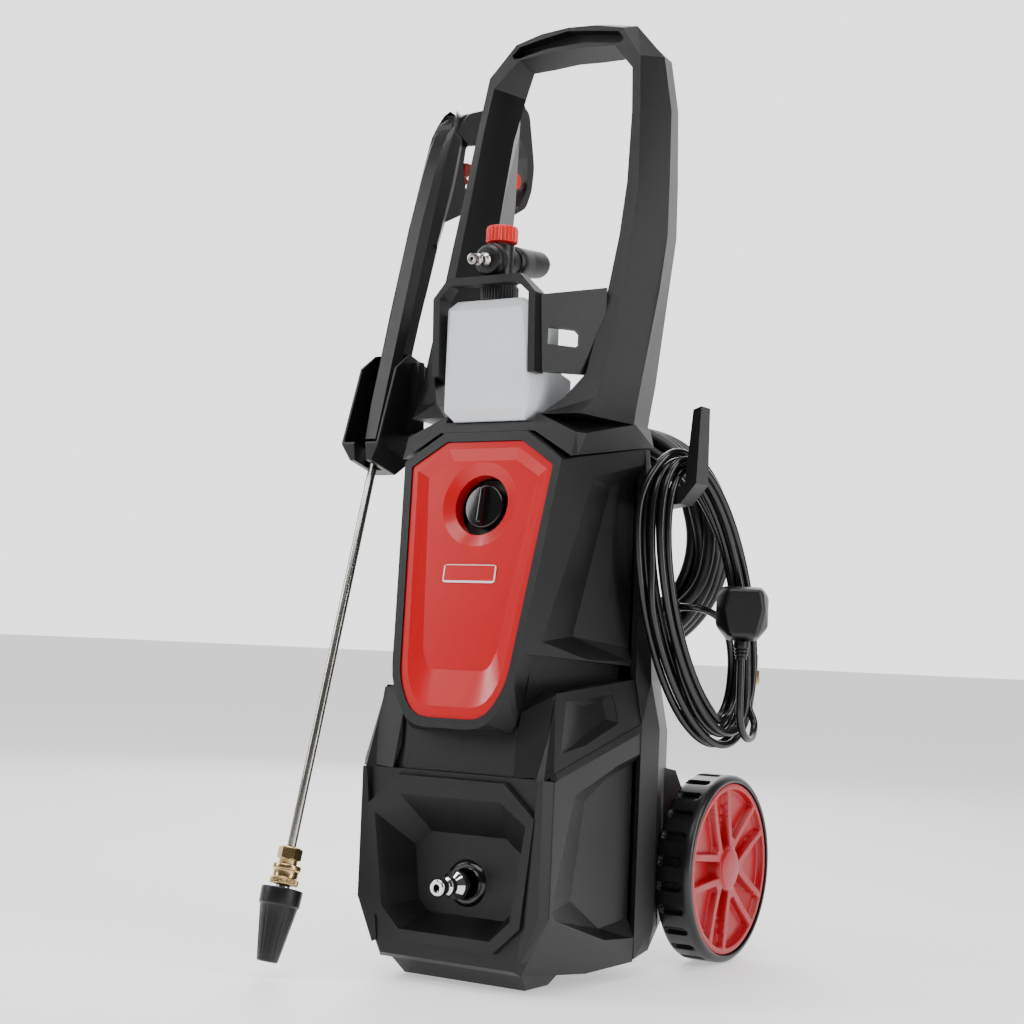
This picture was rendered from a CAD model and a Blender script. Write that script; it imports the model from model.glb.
"""Looks of an upright wheeled pressure washer.

Lengths are millimetres in the tables below and are turned into metres by MM where a mesh is made.
+Z is up, the front faces -Y, and the origin is the centre of the front foot's sole.
"""

import math

import bmesh
import bpy
from mathutils import Matrix, Vector


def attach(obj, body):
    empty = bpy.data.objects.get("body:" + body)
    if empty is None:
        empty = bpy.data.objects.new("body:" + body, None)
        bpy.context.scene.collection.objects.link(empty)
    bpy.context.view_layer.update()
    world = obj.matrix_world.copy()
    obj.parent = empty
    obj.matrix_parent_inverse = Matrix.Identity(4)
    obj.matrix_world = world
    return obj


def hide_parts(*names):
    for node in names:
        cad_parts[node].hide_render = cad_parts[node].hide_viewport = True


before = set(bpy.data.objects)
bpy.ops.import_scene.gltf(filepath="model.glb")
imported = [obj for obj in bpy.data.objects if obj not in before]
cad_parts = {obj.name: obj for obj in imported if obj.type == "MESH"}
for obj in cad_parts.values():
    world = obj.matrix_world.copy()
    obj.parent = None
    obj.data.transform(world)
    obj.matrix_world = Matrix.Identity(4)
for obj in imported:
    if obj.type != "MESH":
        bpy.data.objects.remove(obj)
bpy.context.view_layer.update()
scene = bpy.context.scene
MM = 0.001

# Places that several pieces share, in millimetres.
AXLE_Y = 243
TYRE_RADIUS = 87.3
WHEEL_X = 88
DIAL_HEIGHT = 188
OUTLET_Z = 83
FOAM_Y = -9
LEAD_EXIT = (102, 160, 330)
PLUG_FOOT = (162.9, 166.7, 300.4)
HOSE_END_Y = 264
HOSE_END_Z = 289.8
# ---------------------------------------------------------------- camera, floor and light


def make_camera():
    """A camera that sees the machine from the front right, a little below the middle of its height."""
    data = bpy.data.cameras.new("camera")
    data.sensor_width = 36
    data.lens = 64.16
    camera = bpy.data.objects.new("camera", data)
    scene.collection.objects.link(camera)
    right = Vector((0.8442, 0.5343, 0.0429))
    up = Vector((0.0040, -0.0863, 0.9963))
    back = Vector((0.5360, -0.8409, -0.0750))
    turn = Matrix((right, up, back)).transposed().to_4x4()
    turn.translation = Vector((0.873, -1.34287, 0.28444))
    camera.matrix_world = turn
    scene.camera = camera


def link(data, name):
    made = bpy.data.objects.new(name, data)
    scene.collection.objects.link(made)
    return made


def soft_box(name, place, aim, width, height, power):
    """A rectangular area light at place, turned towards aim. All in metres and watts."""
    data = bpy.data.lights.new(name, "AREA")
    data.shape = "RECTANGLE"
    data.size = width
    data.size_y = height
    data.energy = power
    lamp = link(data, name)
    lamp.location = place
    lamp.rotation_euler = (Vector(aim) - Vector(place)).to_track_quat("-Z", "Y").to_euler()


def make_floor():
    """A wide, nearly white floor that glows a little, so that its far end stays pale."""
    mesh = bpy.data.meshes.new("floor")
    side = 60
    corners = [(-side, -side, 0), (side, -side, 0), (side, side, 0), (-side, side, 0)]
    mesh.from_pydata(corners, [], [(0, 1, 2, 3)])
    floor = link(mesh, "floor")
    floor.location.z = -0.0005
    white = surface("floor_white", (0.90, 0.90, 0.90), 0.6, grain=(60, 0.02), mottle=0.01)
    shader = white.node_tree.nodes["Principled BSDF"]
    shader.inputs["Emission Color"].default_value = (1, 1, 1, 1)
    shader.inputs["Emission Strength"].default_value = 0.55
    mesh.materials.append(white)


def make_world():
    """Bright behind the machine and dim in front of it, so that the black shells stay black."""
    world = bpy.data.worlds.new("studio")
    world.use_nodes = True
    nodes, links = world.node_tree.nodes, world.node_tree.links
    place = nodes.new("ShaderNodeTexCoord")
    toward = nodes.new("ShaderNodeVectorMath")
    toward.operation = "DOT_PRODUCT"
    toward.inputs[1].default_value = (-0.536, 0.841, 0.075)
    links.new(place.outputs["Generated"], toward.inputs[0])
    wall = nodes.new("ShaderNodeMapRange")
    wall.interpolation_type = "SMOOTHSTEP"
    wall.inputs["From Min"].default_value = 0.35
    wall.inputs["From Max"].default_value = 0.85
    wall.inputs["To Min"].default_value = 0.08
    wall.inputs["To Max"].default_value = 2.3
    links.new(toward.outputs["Value"], wall.inputs["Value"])
    links.new(wall.outputs["Result"], nodes["Background"].inputs["Strength"])
    nodes["Background"].inputs["Color"].default_value = (1, 1, 1, 1)
    scene.world = world


def make_studio():
    make_floor()
    make_world()
    soft_box("key", (-1.9, -1.5, 1.5), (0, 0.0, 0.4), 0.7, 1.9, 36)
    soft_box("side", (1.9, 0.1, 1.0), (0.05, 0.1, 0.35), 0.5, 2.0, 26)
    soft_box("top", (0.1, -0.2, 2.6), (0, 0.1, 0.4), 1.8, 1.0, 34)
    soft_box("rim", (-1.4, 1.9, 1.4), (0, 0.1, 0.5), 0.8, 1.6, 22)
    soft_box("floor_wash", (0.2, -1.6, 2.2), (-0.2, 0.6, 0), 2.4, 0.8, 26)


# ---------------------------------------------------------------- surfaces


def surface(name, colour, rough, metal=0.0, coat=0.0, grain=(900, 0.05), mottle=0.06,
            stretch=(1, 1, 1), through=0.0, spread=0.12, shine=0.5):
    """A procedural finish: patches of slightly different colour and gloss over a fine raised grain.

    grain is (fineness, height). mottle and spread say how much colour and roughness vary. stretch draws
    the grain out along the axes, through lets light into the body, and shine is the specular level.
    """
    made = bpy.data.materials.new(name)
    made.use_nodes = True
    nodes, links = made.node_tree.nodes, made.node_tree.links
    shader = nodes["Principled BSDF"]
    place = nodes.new("ShaderNodeTexCoord")
    patches = nodes.new("ShaderNodeTexNoise")
    patches.inputs["Scale"].default_value = 14
    patches.inputs["Detail"].default_value = 6
    links.new(place.outputs["Object"], patches.inputs["Vector"])
    tint = nodes.new("ShaderNodeMix")
    tint.data_type = "RGBA"
    tint.inputs["A"].default_value = (*[c * (1 - mottle) for c in colour], 1)
    tint.inputs["B"].default_value = (*[min(1, c * (1 + mottle)) for c in colour], 1)
    links.new(patches.outputs["Fac"], tint.inputs["Factor"])
    links.new(tint.outputs["Result"], shader.inputs["Base Color"])
    gloss = nodes.new("ShaderNodeMapRange")
    gloss.inputs["To Min"].default_value = rough * (1 - spread)
    gloss.inputs["To Max"].default_value = min(1, rough * (1 + spread))
    links.new(patches.outputs["Fac"], gloss.inputs["Value"])
    links.new(gloss.outputs["Result"], shader.inputs["Roughness"])
    drawn = nodes.new("ShaderNodeMapping")
    drawn.inputs["Scale"].default_value = stretch
    links.new(place.outputs["Object"], drawn.inputs["Vector"])
    fine = nodes.new("ShaderNodeTexNoise")
    fine.inputs["Scale"].default_value = grain[0]
    fine.inputs["Detail"].default_value = 3
    links.new(drawn.outputs["Vector"], fine.inputs["Vector"])
    raised = nodes.new("ShaderNodeBump")
    raised.inputs["Strength"].default_value = grain[1]
    raised.inputs["Distance"].default_value = 0.001
    links.new(fine.outputs["Fac"], raised.inputs["Height"])
    links.new(raised.outputs["Normal"], shader.inputs["Normal"])
    shader.inputs["Metallic"].default_value = metal
    shader.inputs["Specular IOR Level"].default_value = shine
    shader.inputs["Coat Weight"].default_value = coat
    shader.inputs["Coat Roughness"].default_value = 0.06
    if through:
        shader.inputs["Subsurface Weight"].default_value = through
        shader.inputs["Subsurface Radius"].default_value = (0.02, 0.02, 0.02)
        shader.inputs["Transmission Weight"].default_value = 0.12
    return made


def framed_badge():
    """The panel's red inside a thin pale frame. The badge carries no lettering."""
    half_width, half_height, middle_z = 0.0258, 0.0067, 0.3484
    made = surface("badge_frame", (0.500, 0.004, 0.008), 0.26, grain=(400, 0.02), mottle=0.03)
    nodes, links = made.node_tree.nodes, made.node_tree.links
    place = nodes.new("ShaderNodeTexCoord")
    split = nodes.new("ShaderNodeSeparateXYZ")
    links.new(place.outputs["Object"], split.inputs["Vector"])
    edges = []
    for axis, middle, reach in (("X", 0.0, half_width), ("Z", middle_z, half_height)):
        shift = nodes.new("ShaderNodeMath")
        shift.operation = "SUBTRACT"
        shift.inputs[1].default_value = middle
        links.new(split.outputs[axis], shift.inputs[0])
        size = nodes.new("ShaderNodeMath")
        size.operation = "ABSOLUTE"
        links.new(shift.outputs["Value"], size.inputs[0])
        beyond = nodes.new("ShaderNodeMath")
        beyond.operation = "GREATER_THAN"
        beyond.inputs[1].default_value = reach
        links.new(size.outputs["Value"], beyond.inputs[0])
        edges.append(beyond)
    either = nodes.new("ShaderNodeMath")
    either.operation = "MAXIMUM"
    links.new(edges[0].outputs["Value"], either.inputs[0])
    links.new(edges[1].outputs["Value"], either.inputs[1])
    pale = nodes.new("ShaderNodeMix")
    pale.data_type = "RGBA"
    shader = nodes["Principled BSDF"]
    before = shader.inputs["Base Color"].links[0].from_socket
    links.new(either.outputs["Value"], pale.inputs["Factor"])
    links.new(before, pale.inputs["A"])
    pale.inputs["B"].default_value = (0.85, 0.82, 0.82, 1)
    links.new(pale.outputs["Result"], shader.inputs["Base Color"])
    return made


make_camera()
paint = {
    "shell": surface("black_shell", (0.0050, 0.0052, 0.0057), 0.38, grain=(1500, 0.24), shine=0.34),
    "gloss": surface("black_gloss", (0.0060, 0.0061, 0.0064), 0.13, grain=(300, 0.03)),
    "soft": surface("black_soft", (0.0048, 0.0049, 0.0053), 0.34, grain=(1800, 0.16), shine=0.38),
    "red": surface("red_gloss", (0.500, 0.004, 0.008), 0.24, coat=0.12, grain=(260, 0.02), mottle=0.03),
    "wheel": surface("red_wheel", (0.360, 0.003, 0.009), 0.34, grain=(700, 0.06), mottle=0.05),
    "orange": surface("orange_cap", (0.620, 0.018, 0.012), 0.30, grain=(600, 0.05), mottle=0.05),
    "badge": framed_badge(),
    "bottle": surface("bottle_milk", (0.79, 0.81, 0.84), 0.34, grain=(500, 0.05), mottle=0.02,
                      through=0.35),
    "tyre": surface("tyre_black", (0.0058, 0.0060, 0.0064), 0.33, grain=(900, 0.10)),
    "steel": surface("lance_steel", (0.46, 0.44, 0.41), 0.24, metal=1, grain=(700, 0.10),
                     stretch=(1, 0.25, 0.05)),
    "chrome": surface("chrome", (0.72, 0.72, 0.73), 0.07, metal=1, grain=(900, 0.01), mottle=0.02),
    "brass": surface("brass", (0.58, 0.41, 0.20), 0.24, metal=1, grain=(1200, 0.06), mottle=0.05),
    "alloy": surface("cast_alloy", (0.40, 0.41, 0.42), 0.45, metal=1, grain=(800, 0.25)),
    "iron": surface("painted_iron", (0.10, 0.11, 0.12), 0.50, grain=(500, 0.10)),
    "cord": surface("cord_sheath", (0.0052, 0.0053, 0.0057), 0.22, grain=(900, 0.06)),
    "hose": surface("hose_sheath", (0.0062, 0.0063, 0.0068), 0.40, grain=(700, 0.12)),
}
make_studio()

# ---------------------------------------------------------------- mesh helpers


def finish_mesh(made, name, body, look, replaces, sharp=40):
    """Turns a bmesh into a smooth-shaded piece on a body. Edges over sharp degrees stay crisp."""
    mesh = bpy.data.meshes.new(name)
    bmesh.ops.remove_doubles(made, verts=made.verts, dist=1e-6)
    bmesh.ops.recalc_face_normals(made, faces=made.faces)
    made.to_mesh(mesh)
    made.free()
    mesh.polygons.foreach_set("use_smooth", [True] * len(mesh.polygons))
    mesh.set_sharp_from_angle(angle=math.radians(sharp))
    mesh.materials.append(look)
    piece = link(mesh, name)
    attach(piece, body)
    if replaces:
        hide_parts(*replaces)
    return piece


def put(made, rows, closed_across=True, closed_along=False):
    """Quads between rows of points. Every row has the same count of points, in millimetres."""
    grid = [[made.verts.new(Vector(p) * MM) for p in row] for row in rows]
    count = len(grid[0])
    last_row = len(grid) if closed_along else len(grid) - 1
    last_column = count if closed_across else count - 1
    for i in range(last_row):
        after = (i + 1) % len(grid)
        for k in range(last_column):
            beside = (k + 1) % count
            corners = [grid[i][k], grid[i][beside], grid[after][beside], grid[after][k]]
            made.faces.new(corners)
    return grid


def eased(profile, reach=0.5):
    """The same profile with each inner corner rounded."""
    out = [profile[0]]
    for before, here, after in zip(profile, profile[1:], profile[2:]):
        a, b, c = Vector(before), Vector(here), Vector(after)
        r = min(reach, (a - b).length * 0.45, (c - b).length * 0.45)
        start, end = b + (a - b).normalized() * r, b + (c - b).normalized() * r
        middle = b * 0.5 + (start + end) * 0.25
        out += [tuple(start), tuple(middle), tuple(end)]
    out.append(profile[-1])
    return out


def turned(name, profile, base, direction, body, look, replaces=(), segments=72, reach=0.5,
           shape=None, sharp=40):
    """A profile of (radius, height) turned about direction from base.

    reach rounds the profile's corners, and shape(r, h, angle) may change the radius.
    """
    made = bmesh.new()
    turn = Vector((0, 0, 1)).rotation_difference(Vector(direction).normalized())
    rows = []
    for r, h in eased(profile, reach):
        ring = []
        for i in range(segments):
            a = 2 * math.pi * i / segments
            here = max(0.0, shape(r, h, a) if shape else r)
            ring.append(Vector(base) + turn @ Vector((here * math.cos(a), here * math.sin(a), h)))
        rows.append(ring)
    put(made, rows)
    bmesh.ops.dissolve_degenerate(made, dist=1e-7, edges=made.edges)
    return finish_mesh(made, name, body, look, replaces, sharp)


def refine(node, look, width=1.2, angle=22, segments=3):
    """Rounds the edges of a CAD node by width millimetres and shades it smoothly.

    Only edges that turn by more than angle degrees are rounded.
    """
    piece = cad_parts[node]
    mesh = piece.data
    if "custom_normal" in mesh.attributes:
        mesh.attributes.remove(mesh.attributes["custom_normal"])
    mesh.polygons.foreach_set("use_smooth", [True] * len(mesh.polygons))
    mesh.materials.clear()
    mesh.materials.append(look)
    weld = piece.modifiers.new("weld", "WELD")
    weld.merge_threshold = 2e-5
    flat = piece.modifiers.new("flat", "DECIMATE")
    flat.decimate_type = "DISSOLVE"
    flat.angle_limit = math.radians(1.2)
    flat.delimit = {"MATERIAL"}
    if width:
        edge = piece.modifiers.new("edge", "BEVEL")
        edge.width = width * MM
        edge.segments = segments
        edge.limit_method = "ANGLE"
        edge.angle_limit = math.radians(angle)
        edge.use_clamp_overlap = True
        edge.loop_slide = True
    even = piece.modifiers.new("even", "WEIGHTED_NORMAL")
    even.weight = 100
    even.keep_sharp = False
    return piece


# ---------------------------------------------------------------- cords


def wound(place, slots, start, sweep, step=7.5):
    """Points of a cord wound through slots, one slot further each turn.

    place(angle, slot) gives a point. Later turns change slot earlier in the turn, so that each moves
    into a slot that is already free.
    """
    turns = len(slots) - 1
    window = 360 / (turns + 1)
    points = []
    for i in range(int(sweep / step) + 1):
        gone = i * step
        turn = min(int(gone // 360), turns)
        begin = turn * 360 + (turns - 1 - turn) * window
        part = min(1, max(0, (gone - begin) / window)) if turn < turns else 0
        part = part * part * (3 - 2 * part)
        a, b = slots[turn], slots[min(turn + 1, turns)]
        slot = [p + (q - p) * part for p, q in zip(a, b)]
        points.append(place(math.radians(start - gone), slot))
    return points


def smooth_route(points, step=4.0):
    """Evenly spaced points on a centripetal curve through the given ones."""
    ends = [Vector(p) for p in points]
    ends = [ends[0] * 2 - ends[1]] + ends + [ends[-1] * 2 - ends[-2]]
    out = []
    for p0, p1, p2, p3 in zip(ends, ends[1:], ends[2:], ends[3:]):
        t1 = (p1 - p0).length ** 0.5
        t2 = t1 + (p2 - p1).length ** 0.5
        t3 = t2 + (p3 - p2).length ** 0.5
        count = max(1, round((p2 - p1).length / step))
        for i in range(count):
            t = t1 + (t2 - t1) * i / count
            a1 = p0 * ((t1 - t) / t1) + p1 * (t / t1)
            a2 = p1 * ((t2 - t) / (t2 - t1)) + p2 * ((t - t1) / (t2 - t1))
            a3 = p2 * ((t3 - t) / (t3 - t2)) + p3 * ((t - t2) / (t3 - t2))
            b1 = a1 * ((t2 - t) / t2) + a2 * (t / t2)
            b2 = a2 * ((t3 - t) / (t3 - t1)) + a3 * ((t - t1) / (t3 - t1))
            out.append(b1 * ((t2 - t) / (t2 - t1)) + b2 * ((t - t1) / (t2 - t1)))
    out.append(ends[-2])
    return out


def cord_curve(name, route, diameter, look):
    """A round cord along a route."""
    data = bpy.data.curves.new(name, "CURVE")
    data.dimensions = "3D"
    data.bevel_depth = diameter / 2 * MM
    data.bevel_resolution = 5
    data.use_fill_caps = True
    line = data.splines.new("POLY")
    line.points.add(len(route) - 1)
    for point, place in zip(line.points, route):
        point.co = (*(Vector(place) * MM), 1)
    line.use_smooth = True
    data.materials.append(look)
    piece = link(data, name)
    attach(piece, "machine")
    return piece


# Mains lead: from the gland into a hank of loops over the side hook, then up to the plug.
LEAD = 7.0


def hank_place(angle, slot):
    """A point of the oval hank: slots are (outward, sideways), and the loops hang looser lower down."""
    up = max(0.0, math.sin(angle))
    loose = 7.8 + 3.0 * (1 - math.sin(angle)) / 2
    wander = 0.6 * math.sin(3 * angle + 5 * slot[0] + 3 * slot[1])
    radial = slot[0] * loose - 5 * up**4 + wander
    across = slot[1] * 8.2 + 0.5 * math.sin(2 * angle + 4 * slot[0])
    z = (125 + radial) * math.sin(angle)
    y = 155 + (57 + radial) * math.cos(angle) - 0.27 * z
    return (116 + (y - 117) * 0.25 + across, y, 341 + z)


lead_slots = [(-1, -1), (0, -1), (1, -1), (1, 0), (0, 0), (-1, 0), (-1, 1), (0, 1)]
lead_tail = [LEAD_EXIT, (108, 160, 330), (116, 162, 330), (121.5, 168, 329), (126, 178, 326),
             (128.5, 189, 321.5), (130.3, 200, 313), (131, 208, 300)]
lead_plug_tail = [(155, 216, 226.5), (157.5, 209.7, 218.1), (159.8, 201.9, 213.6), (161, 193, 212),
                  (161.9, 184.1, 213.6), (162.5, 176.3, 218.1), (162.8, 170.5, 225),
                  (162.9, 167.4, 233.5), (162.9, 166.8, 245), (162.9, 166.7, 262),
                  (162.9, 166.7, 284), (162.9, 166.7, 298)]
hank_route = wound(hank_place, lead_slots, -30, 7 * 360 + 22.5)
lead_route = smooth_route(lead_tail + hank_route + lead_plug_tail)
lead = cord_curve("mains_lead", lead_route, LEAD, paint["cord"])

# Hose: up from one fitting, round the rear hook, down to the other.
HOSE = 11.5
HOSE_PITCH = 12.0


def hose_place(angle, slot):
    """A point of the round hose ring, pressed a little flatter where it lies on the hook."""
    radius = 98 + slot[0] * HOSE_PITCH - 1.5 * max(0.0, math.sin(angle)) ** 6
    return (radius * math.cos(angle), 219 + slot[1] * HOSE_PITCH, 395 + radius * math.sin(angle))


hose_slots = [(1, 1.5), (1, 0.5), (1, -0.5), (1, -1.5), (0, -1.5), (0, -0.5), (-1, -0.5), (-1, 0.5),
              (0, 0.5), (0, 1.5)]
hose_start = [(-127, HOSE_END_Y, HOSE_END_Z), (-127, 264, 300), (-125.5, 260, 320), (-121, 253.5, 348),
              (-115, 246, 378), (-110.4, 240, 404)]
hose_end = [(98, 243, 407), (105, 248.5, 388), (113, 253, 364), (121, 258, 336), (126.2, 262.6, 308),
            (127, 264, 298), (127, HOSE_END_Y, HOSE_END_Z)]
hose_route = smooth_route(hose_start + wound(hose_place, hose_slots, 162.4, 9 * 360 + 144.8) + hose_end)
hose = cord_curve("pressure_hose", hose_route, HOSE, paint["hose"])

# ---------------------------------------------------------------- moulded shells kept from the CAD

for node in ("front_housing", "rear_housing"):
    refine(node, paint["shell"], width=1.5, angle=11)
for node in ("handle_frame", "bottle_hood"):
    refine(node, paint["shell"], width=2.2, angle=12)
for node in ("gun_holder", "holder_bracket", "cable_hook", "hose_hook"):
    refine(node, paint["soft"], width=1.0)
for node in ("front_foot", "cable_clip", "switch_box", "capacitor"):
    refine(node, paint["soft"], width=0.7)
refine("plug_body", paint["soft"], width=3.2, segments=4)
for node in ("trigger", "trigger_lock"):
    refine(node, paint["orange"], width=1.2)
refine("badge_plate", paint["badge"], width=0.4)
refine("front_panel", paint["red"], width=0.9, angle=5)
refine("foam_bottle", paint["bottle"], width=3.0)
refine("gun_body", paint["soft"], width=2.2, angle=12)
for node in ("plug_pin_earth", "plug_pin_left", "plug_pin_right"):
    refine(node, paint["brass"], width=0.4)
for node in ("motor_can", "pump_body", "pump_head"):
    refine(node, paint["alloy"], width=0.8)
refine("motor_fan_cover", paint["iron"], width=0.8)
for node in ("outlet_pipe", "inlet_pipe"):
    refine(node, paint["steel"], width=0)

# ---------------------------------------------------------------- switch knob, outlet and inlet

PANEL_UP = Vector((0, 0.1599, 0.9871))
PANEL_OUT = Vector((0, -0.9871, 0.1599))


def panel_point(u, v, n=0.0):
    """A point of the sloping panel: u to the right, v up along it, n out of it."""
    return Vector((u, -61, 224)) + PANEL_UP * v + PANEL_OUT * n


turned("knob_disc", [(0, 0), (18.6, 0), (19.5, 1.2), (19.5, 7), (18.4, 8), (0, 8)],
       panel_point(0, DIAL_HEIGHT, -19), PANEL_OUT, "knob", paint["gloss"], segments=120, reach=0.8)


def knob_rib():
    """The grip across the knob: rounded boxes of (out, half width, half length), narrower outwards."""
    made = bmesh.new()
    rows = []
    layers = ((-12, 4.8, 18.2), (-11, 4.5, 17.2), (-6, 3.0, 16.4), (-4.6, 2.4, 15.9), (-4, 1.4, 15.2))
    for n, half, tall in layers:
        ring = []
        for i in range(48):
            a = 2 * math.pi * i / 48
            c, s = math.cos(a), math.sin(a)
            u = half * math.copysign(abs(c) ** 0.35, c)
            v = tall * math.copysign(abs(s) ** 0.35, s)
            ring.append(panel_point(u, DIAL_HEIGHT + v, n))
        rows.append(ring)
    grid = put(made, rows)
    made.faces.new(grid[-1])
    finish_mesh(made, "knob_rib", "knob", paint["gloss"], ("switch_knob",))


knob_rib()
turned("outlet_collar", [(13, 0), (20, 0), (20, 12), (17, 14.5), (13, 14.5), (13, 0)],
       (0, -7.5, OUTLET_Z), (0, -1, 0), "machine", paint["gloss"], ("outlet_ring",),
       segments=96)
SPIGOT = [(3, 0), (10, 0), (10, 26), (12.2, 28), (12.2, 34), (7, 38.5), (7, 42), (8.6, 44), (8.6, 47),
          (6.2, 49.5), (6.2, 52), (7.4, 53), (7.4, 58.5), (6.4, 60), (3, 60), (3, 0)]
turned("outlet_stem", SPIGOT, (0, -6, OUTLET_Z), (0, -1, 0), "machine", paint["chrome"],
       ("outlet_spigot",))
INLET = [(7, 0), (15, 0), (15, 17), (17, 17.5), (17, 22), (11, 23), (11, 26), (9, 27), (9, 31),
         (11, 32.5), (9, 34), (7, 34), (7, 0)]
turned("inlet_stub", INLET, (40, 172, 150), (0, 1, 0), "machine", paint["brass"],
       ("inlet_connector",))

# ---------------------------------------------------------------- wheels


def soft_step(x):
    """0 below 0, 1 above 1, and a smooth rise between."""
    x = min(1, max(0, x))
    return x * x * (3 - 2 * x)


# The tyre's section as (radius, distance outwards), from its inner side to its outer side.
TYRE = [(80.4, 0.2), (82.8, 0.0), (84.8, 0.4), (86.2, 1.4), (87.0, 3.0), (TYRE_RADIUS, 5.0)]
TYRE += [(TYRE_RADIUS, 5.0 + 1.0 * i) for i in range(1, 26)]
TYRE += [(87.1, 32.0), (86.4, 33.8), (85.0, 35.2), (83.2, 35.9), (81.4, 36.0), (80.4, 35.4)]


def tyre(name, side):
    """A tyre with a ring of closed slots sunk into its tread."""
    made = bmesh.new()
    lugs = 24
    columns = lugs * 28
    rows = []
    for r, x in TYRE:
        ring = []
        for i in range(columns):
            a = 2 * math.pi * i / columns
            across = ((a / (math.pi / 12)) % 1 - 0.5) * math.pi / 12 * TYRE_RADIUS
            off = math.hypot(across, max(0, x - 22.5, 7.5 - x))
            depth = 4.8 * soft_step((4.9 - off) / 2.0)
            here = min(r, max(82.4, TYRE_RADIUS - depth))
            y, z = AXLE_Y + here * math.cos(a), TYRE_RADIUS + here * math.sin(a)
            ring.append((side * (WHEEL_X + x), y, z))
        rows.append(ring)
    put(made, rows)
    finish_mesh(made, name + "_tyre_tread", name + "_wheel", paint["tyre"], (name + "_tyre",))


def disc_height(r, a):
    """How far the disc's outer face stands from its inner side, at radius r and angle a."""
    spoke = (a - math.pi) / (math.pi * 0.4)
    off = (spoke - round(spoke)) * math.pi * 0.4
    side = abs(r * math.sin(off))
    middle = 10.6 + max(0.0, r - 20) * 0.085
    rim = soft_step((74.4 - r) / 1.6)
    pocket = soft_step((side - middle - 2.9) / 1.8) * soft_step((r - 29.0) / 2.5) * rim
    trough = soft_step((middle - 2.9 - side) / 1.8) * soft_step((r - 20.0) / 3.0) * rim
    deep = 5.0 + 6.0 * (1 - (r - 20) / 54)
    bowl = 1.3 * soft_step((r - 17) / 5) * (1 - soft_step((r - 40) / 34))
    return 34.8 - bowl - 6.5 * pocket - deep * trough


def disc(name, side):
    """The red wheel disc: its spoked outer face, then its rim and its back."""
    made = bmesh.new()
    columns = 480
    rings = [0.4 + 0.9 * i for i in range(83)] + [75.6, 77.0, 78.4, 79.2, 79.8, 80.0]
    rows = []
    for r in rings:
        drop = max(0, r - 78.4) ** 2 * 0.6
        rows.append([(side * (WHEEL_X + disc_height(r, 2 * math.pi * i / columns) - drop),
                      AXLE_Y + r * math.cos(2 * math.pi * i / columns),
                      TYRE_RADIUS + r * math.sin(2 * math.pi * i / columns)) for i in range(columns)])
    rows.append([(side * 90, y, z) for _, y, z in rows[-1]])
    for share in (0.98, 0.1):
        rows.append([(side * 88.6, AXLE_Y + (y - AXLE_Y) * share, TYRE_RADIUS + (z - TYRE_RADIUS) * share)
                     for _, y, z in rows[-1]])
    grid = put(made, rows)
    made.faces.new(grid[0])
    finish_mesh(made, name + "_disc", name + "_wheel", paint["wheel"], (name + "_wheel_hub",),
                sharp=60)


for wheel_name, wheel_side in (("left", -1), ("right", 1)):
    tyre(wheel_name, wheel_side)
    disc(wheel_name, wheel_side)
    turned(wheel_name + "_hub_cap", [(0, 0), (18.4, 0), (18.4, 0.5), (16.5, 1.1), (9, 1.7), (0, 1.9)],
           (wheel_side * 122.5, AXLE_Y, TYRE_RADIUS), (wheel_side, 0, 0), wheel_name + "_wheel",
           paint["wheel"], (wheel_name + "_wheel_cap",))

# ---------------------------------------------------------------- foam unit

HEAD_AXIS = Vector((0, 0.989, 0.1478))


def head_point(t):
    """A point of the foam head's tilted axis."""
    return Vector((0, FOAM_Y, 626)) + HEAD_AXIS * t


def ribbed(count, depth, low, high, power=0.5):
    """A shape that cuts count flutes between two heights."""
    def shape(r, h, a):
        if h < low or h > high:
            return r
        wave = 0.5 + 0.5 * math.cos(count * a)
        return r - depth * (1 - wave**power)
    return shape


FOAM_COLLAR = [(12.9, 0), (17, 0), (17, 1.5), (17, 12), (16.6, 13), (14.4, 15.6), (13.5, 16), (7.2, 16),
               (7.2, 13.4), (12.9, 13.4), (12.9, 0)]
turned("foam_collar", FOAM_COLLAR, (0, FOAM_Y, 589.3), (0, 0, 1), "foam_unit", paint["soft"],
       ("foam_bottle_cap",), shape=ribbed(36, 0.7, 1.2, 12.2), segments=288, reach=0.3)
turned("foam_body_stem", [(0, 0), (16, 0), (16, 3), (12, 6), (12, 33.5), (11, 34.5), (0, 34.5)],
       (0, FOAM_Y, 605.6), (0, 0, 1), "foam_unit", paint["soft"])
FOAM_BARREL = [(0, 0), (11.4, 0), (12, 0.6), (14, 3), (14, 8), (15.5, 9), (15.5, 13), (12, 15), (11, 24),
               (12, 26), (12, 38), (11.4, 38.5), (0, 38.5)]
turned("foam_body_barrel", FOAM_BARREL, head_point(-23.5), HEAD_AXIS, "foam_unit", paint["soft"],
       ("foam_head_body",))
FOAM_SPIGOT = [(1.6, 0), (4.2, 0), (4.2, 11.8), (6.6, 12.2), (6.6, 15.5), (4, 19), (4, 22), (5.4, 23.5),
               (5.4, 26), (3.6, 28), (3.6, 30), (4.8, 31), (4.8, 35), (1.6, 35), (1.6, 0)]
turned("foam_spigot_turned", FOAM_SPIGOT, head_point(-12), -HEAD_AXIS, "foam_unit", paint["steel"],
       ("foam_head_spigot",))
turned("foam_dial", [(0, 0), (13.2, 0), (14.2, 1), (14.2, 12), (13.4, 14.2), (11, 15), (0, 15)],
       (0, FOAM_Y, 642), (0, 0, 1), "foam_regulator", paint["orange"], ("foam_regulator_knob",),
       shape=ribbed(22, 1.1, 0.8, 13.0), segments=264, reach=0.6)


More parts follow.
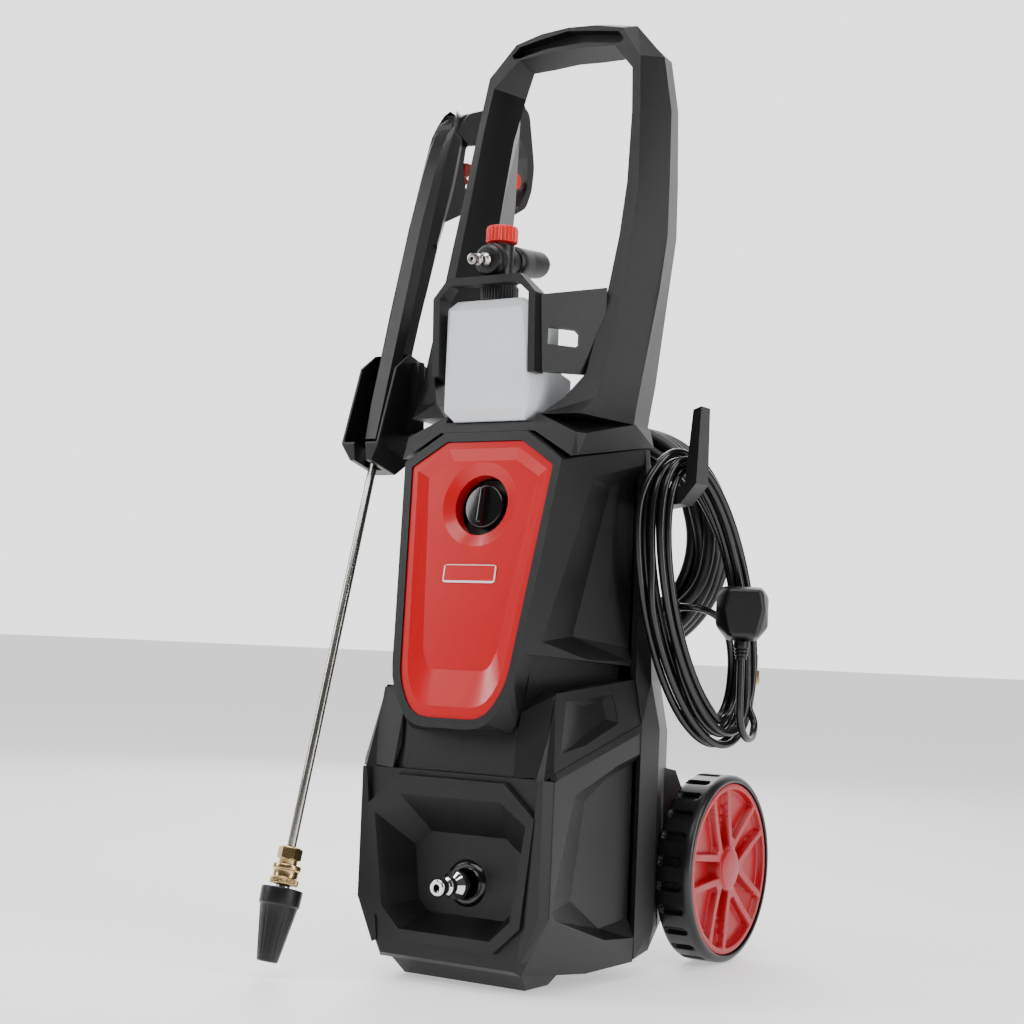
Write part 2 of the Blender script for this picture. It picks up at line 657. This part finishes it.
def fan_tip(r, h, a):
    """Flattens the far end of the spray tip."""
    return r * (1 - 0.10 * soft_step((h - 20) / 20) * abs(math.sin(a)))


SPRAY_TIP = [(0, 0), (12.4, 0), (13, 0.6), (14.5, 4), (14.5, 9), (13.5, 22), (14, 45), (12, 50), (9, 50),
             (7, 44), (0, 43)]
turned("foam_spray_tip", SPRAY_TIP, head_point(15.3), HEAD_AXIS, "foam_spray", paint["soft"],
       ("foam_nozzle",), shape=fan_tip, reach=1.2)

# ---------------------------------------------------------------- gun, lance and nozzle

LANCE_UP = Vector((0, 0.2554, 0.9668))
LANCE_BACK = Vector((0, 0.9668, -0.2554))


def gun_point(s, b=0.0):
    """A point of the gun: s up along the lance's line, b back from it."""
    return Vector((-130, -10.4, 442.5)) + LANCE_UP * s + LANCE_BACK * b


def hexagon(r, h, a):
    """Six flats, 9.25 from the axis, where the profile is wide enough."""
    flat = 9.25 / math.cos((a + math.pi / 6) % (math.pi / 3) - math.pi / 6)
    return r if r < 8.2 else min(r, flat)


turned("lance_pipe", [(2.6, 0), (4, 0), (4, 396), (2.6, 396), (2.6, 0)], gun_point(40), -LANCE_UP,
       "gun", paint["steel"], ("lance_tube",), reach=0.3)
COUPLER = [(4.3, 0), (8.4, 0), (10.6, 1.4), (10.6, 10.2), (9.4, 11), (8, 11), (8, 31.6), (4.3, 31.8),
           (4.3, 0)]
turned("coupler_hex", COUPLER, gun_point(-347.3), -LANCE_UP, "gun", paint["brass"], ("coupler_body",),
       segments=72, reach=0.3, shape=hexagon)


def knurl(r, h, a):
    """Fine grooves round the sleeve's end band."""
    if r < 11 or h < 12.2 or h > 16.4:
        return r
    return r - 0.22 * (1 - abs(math.cos(45 * a)))


SLEEVE = [(8.4, 0), (12, 0), (12.4, 1), (12.4, 4), (11, 5), (10.6, 11), (12.4, 12), (12.4, 12.4),
          (12.4, 14), (12.4, 16), (12, 17), (8.4, 17), (8.4, 0)]
turned("coupler_collar", SLEEVE, gun_point(-362.7), -LANCE_UP, "sleeve", paint["brass"],
       ("coupler_sleeve",), shape=knurl, segments=360, reach=0.35)
turned("nozzle_stem", [(1.5, 0), (4.8, 0), (4.8, 13), (6, 14), (6, 28), (1.5, 28), (1.5, 0)],
       gun_point(-366.3), -LANCE_UP, "nozzle", paint["steel"], ("nozzle_spigot",))


def nozzle_flutes(r, h, a):
    """Twelve narrow grooves along the nozzle's cone."""
    if h < 16 or h > 60 or r < 8.5:
        return r
    return r - 0.5 * (0.5 + 0.5 * math.cos(12 * a)) ** 6


NOZZLE = [(6.3, 0), (17.4, 0), (18, 1), (17.8, 7), (17.6, 14), (16.4, 15), (14.6, 26.5), (12.8, 38),
          (11, 49.6), (9.2, 61), (8, 62), (4, 62), (4, 58), (6.3, 50), (6.3, 0)]
turned("nozzle_cone", NOZZLE, gun_point(-382.8), -LANCE_UP, "nozzle", paint["soft"],
       ("rotary_nozzle",), shape=nozzle_flutes, segments=288, reach=0.6)
turned("gun_hose_inlet", [(3.5, 0), (8.5, 0), (8.5, 4), (10, 5), (10, 16), (8, 18), (3.5, 18), (3.5, 0)],
       gun_point(300, 92), -LANCE_UP, "gun", paint["brass"], ("gun_inlet",))

# ---------------------------------------------------------------- gland, strain relief and hose fittings

GLAND = [(3.8, 5), (9, 5), (9, 6), (7.5, 7), (7.2, 9), (6.2, 9.4), (6.9, 10.6), (6.8, 12.2), (5.9, 12.6),
         (6.5, 13.8), (6.4, 15.4), (5.6, 15.8), (6.1, 17), (6.0, 18.6), (5.3, 19), (5.5, 21), (5.2, 24),
         (3.8, 24), (3.8, 5)]
turned("gland_sleeve", GLAND, (78, 160, 330), (1, 0, 0), "machine", paint["soft"], ("lead_gland",),
       reach=0.3)
PLUG_RELIEF = [(3.8, 0), (7, 0), (7, 5.4), (6.8, 6.4), (5.2, 6.8), (6.5, 8), (6.5, 9.6), (5, 10),
               (6.1, 11.2), (6.0, 12.8), (4.8, 13.2), (5.2, 14.6), (5.0, 16), (3.8, 16), (3.8, 0)]
turned("plug_relief", PLUG_RELIEF, PLUG_FOOT, (0, 0, -1), "machine", paint["soft"],
       ("plug_strain_relief",), reach=0.3)
FITTING = [(3, 0), (7.6, 0), (7.6, 14), (9.5, 15), (9.5, 27), (8.5, 29), (5, 29), (5, 34), (3, 34), (3, 0)]
for end, x in (("machine", -127), ("gun", 127)):
    turned("fitting_" + end, FITTING, (x, HOSE_END_Y, 289.4), (0, 0, -1), "machine", paint["brass"],
           ("hose_fitting_" + end,), reach=0.4)

# ---------------------------------------------------------------- what the two cords are

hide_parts("lead_hank", "lead_tail", "lead_plug_tail")
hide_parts("hose_coil", "hose_tail_gun", "hose_tail_machine")
refine("axle", paint["steel"], width=0.3)
